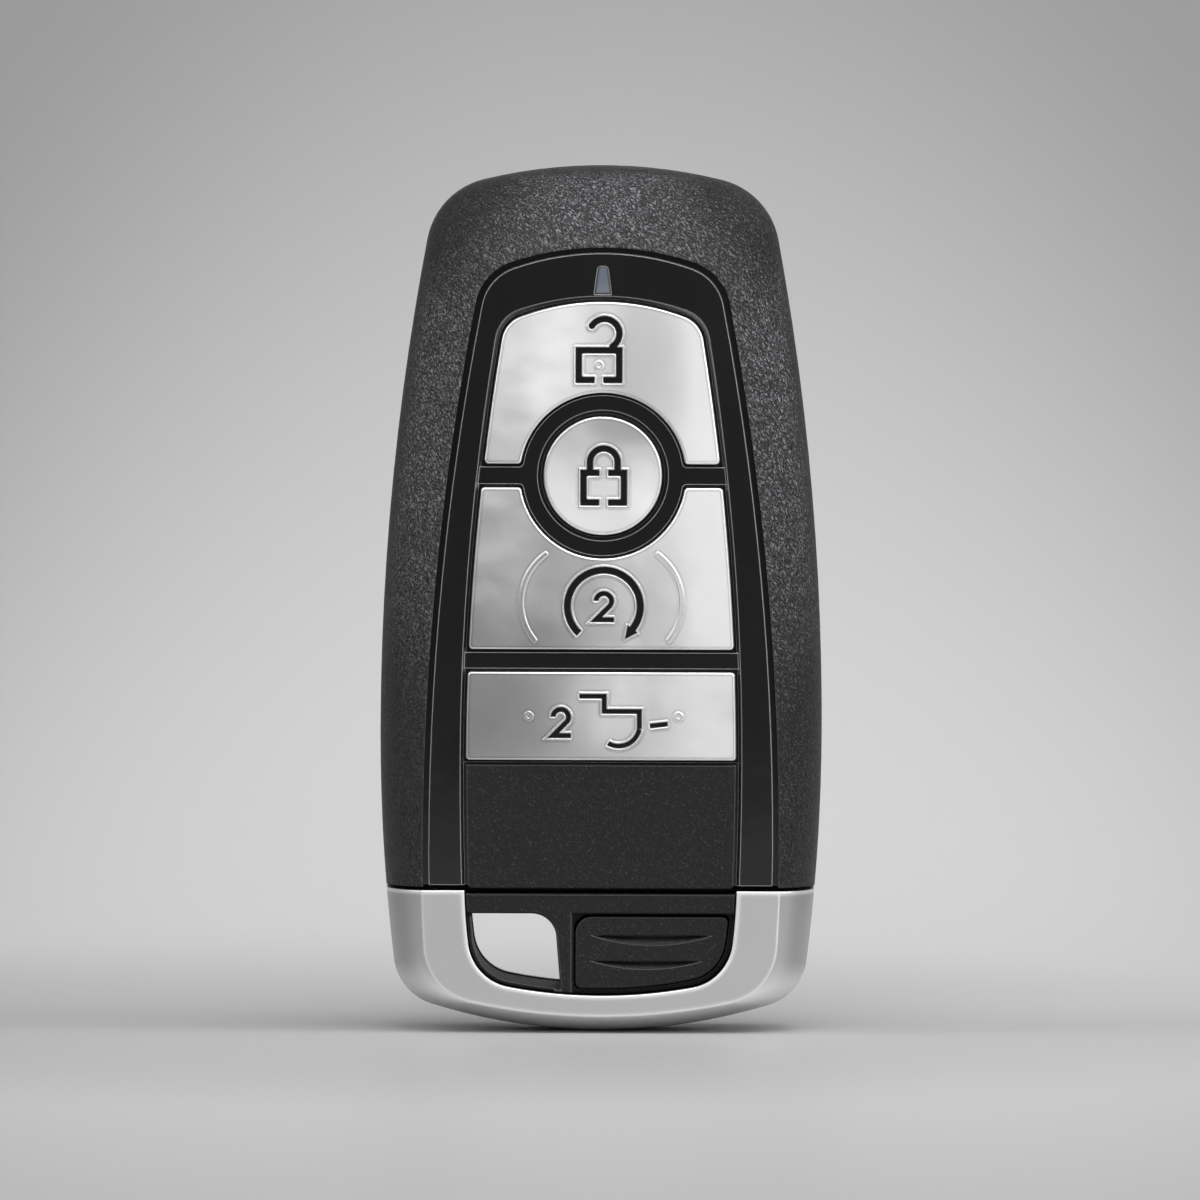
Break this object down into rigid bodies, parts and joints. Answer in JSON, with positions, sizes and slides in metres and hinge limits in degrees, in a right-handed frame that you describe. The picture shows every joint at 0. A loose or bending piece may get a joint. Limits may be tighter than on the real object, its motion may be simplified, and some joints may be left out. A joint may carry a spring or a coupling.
{
  "type": "car key fob",
  "caption": "Smart car key fob with four plated buttons, a gloss black bezel, grained black shell, satin end band, key-ring hole and an emergency key under its rear cover.",
  "frame": {"origin": "middle of the lowest point of the end band, at the middle of the thickness", "axes": "+Z along the length from the end band to the indicator, -Y out of the buttons, +X to the right seen from the buttons"},
  "size_m": [0.041, 0.0154, 0.0802],
  "materials": {
    "grained_black": "leather-grain moulded black plastic",
    "gloss_black": "polished black plastic",
    "fine_black": "fine spark-eroded black plastic",
    "satin_silver": "satin metallic silver coating on plastic",
    "plated_satin": "satin chrome plated plastic",
    "lens_smoke": "smoky grey-blue translucent plastic",
    "silicone": "soft dark silicone",
    "board_green": "green solder mask",
    "chip_black": "moulded epoxy",
    "steel": "plain steel",
    "ceramic_tan": "ceramic",
    "ferrite": "ferrite",
    "copper_wire": "enamelled copper",
    "contact_gold": "plated spring bronze",
    "led_clear": "clear epoxy",
    "nylon": "natural nylon"
  },
  "bodies": {
    "casing": {"front_shell": "grained_black", "end_band": "satin_silver", "gloss_bezel": "gloss_black", "blank_panel": "fine_black", "indicator_lens": "lens_smoke", "chassis": "fine_black", "circuit_board": "board_green", "switch_bodies": "steel", "controller_chip": "chip_black", "radio_chip": "chip_black", "crystal": "steel", "capacitors": "ceramic_tan", "indicator_led": "led_clear", "antenna_core": "ferrite", "antenna_winding": "copper_wire", "negative_contact": "contact_gold", "positive_contact": "contact_gold", "keypad_mat": "silicone", "release_spring_left": "steel", "release_spring_right": "steel"},
    "unlock_button": {"unlock_cap": "plated_satin", "unlock_core": "gloss_black", "unlock_plunger": "nylon"},
    "lock_button": {"lock_cap": "plated_satin", "lock_core": "gloss_black", "lock_plunger": "nylon"},
    "start_button": {"start_cap": "plated_satin", "start_core": "gloss_black", "start_plunger": "nylon"},
    "tailgate_button": {"tailgate_cap": "plated_satin", "tailgate_core": "gloss_black", "tailgate_plunger": "nylon"},
    "left_release": {"release_button_left": "grained_black"},
    "right_release": {"release_button_right": "grained_black"},
    "cover": {"rear_cover": "grained_black"},
    "door": {"battery_door": "fine_black"},
    "cell": {"cell_can": "steel", "cell_cap": "steel", "cell_gasket": "nylon"},
    "key": {"key_head": "fine_black", "key_blade": "steel"}
  },
  "joints": [
    {"name": "unlock_press", "type": "slide", "parent": "casing", "child": "unlock_button", "axis": [0, 1, 0], "range_m": [0, 0.00035], "stiffness_N_per_m": 1500, "deforming": ["keypad_mat"]},
    {"name": "lock_press", "type": "slide", "parent": "casing", "child": "lock_button", "axis": [0, 1, 0], "range_m": [0, 0.00035], "stiffness_N_per_m": 1500, "deforming": ["keypad_mat"]},
    {"name": "start_press", "type": "slide", "parent": "casing", "child": "start_button", "axis": [0, 1, 0], "range_m": [0, 0.00035], "stiffness_N_per_m": 1500, "deforming": ["keypad_mat"]},
    {"name": "tailgate_press", "type": "slide", "parent": "casing", "child": "tailgate_button", "axis": [0, 1, 0], "range_m": [0, 0.00035], "stiffness_N_per_m": 1500, "deforming": ["keypad_mat"]},
    {"name": "left_release_press", "type": "slide", "parent": "casing", "child": "left_release", "axis": [1, 0, 0], "range_m": [0, 0.0008], "stiffness_N_per_m": 800, "deforming": ["release_spring_left"]},
    {"name": "right_release_press", "type": "slide", "parent": "casing", "child": "right_release", "axis": [-1, 0, 0], "range_m": [0, 0.0008], "stiffness_N_per_m": 800, "deforming": ["release_spring_right"]},
    {"name": "cover_lift", "type": "slide", "parent": "casing", "child": "cover", "axis": [0, 1, 0], "range_m": [0, 0.025]},
    {"name": "key_lift", "type": "slide", "parent": "casing", "child": "key", "axis": [0, 1, 0], "range_m": [0, 0.015]},
    {"name": "door_lift", "type": "slide", "parent": "casing", "child": "door", "axis": [0, 1, 0], "range_m": [0, 0.0125]},
    {"name": "cell_lift", "type": "slide", "parent": "casing", "child": "cell", "axis": [0, 1, 0], "range_m": [0, 0.0075]}
  ],
  "couplings": [
    {"joint": "key_lift", "follows": "cover_lift", "ratio": 0.6},
    {"joint": "door_lift", "follows": "cover_lift", "ratio": 0.5},
    {"joint": "cell_lift", "follows": "cover_lift", "ratio": 0.3}
  ]
}
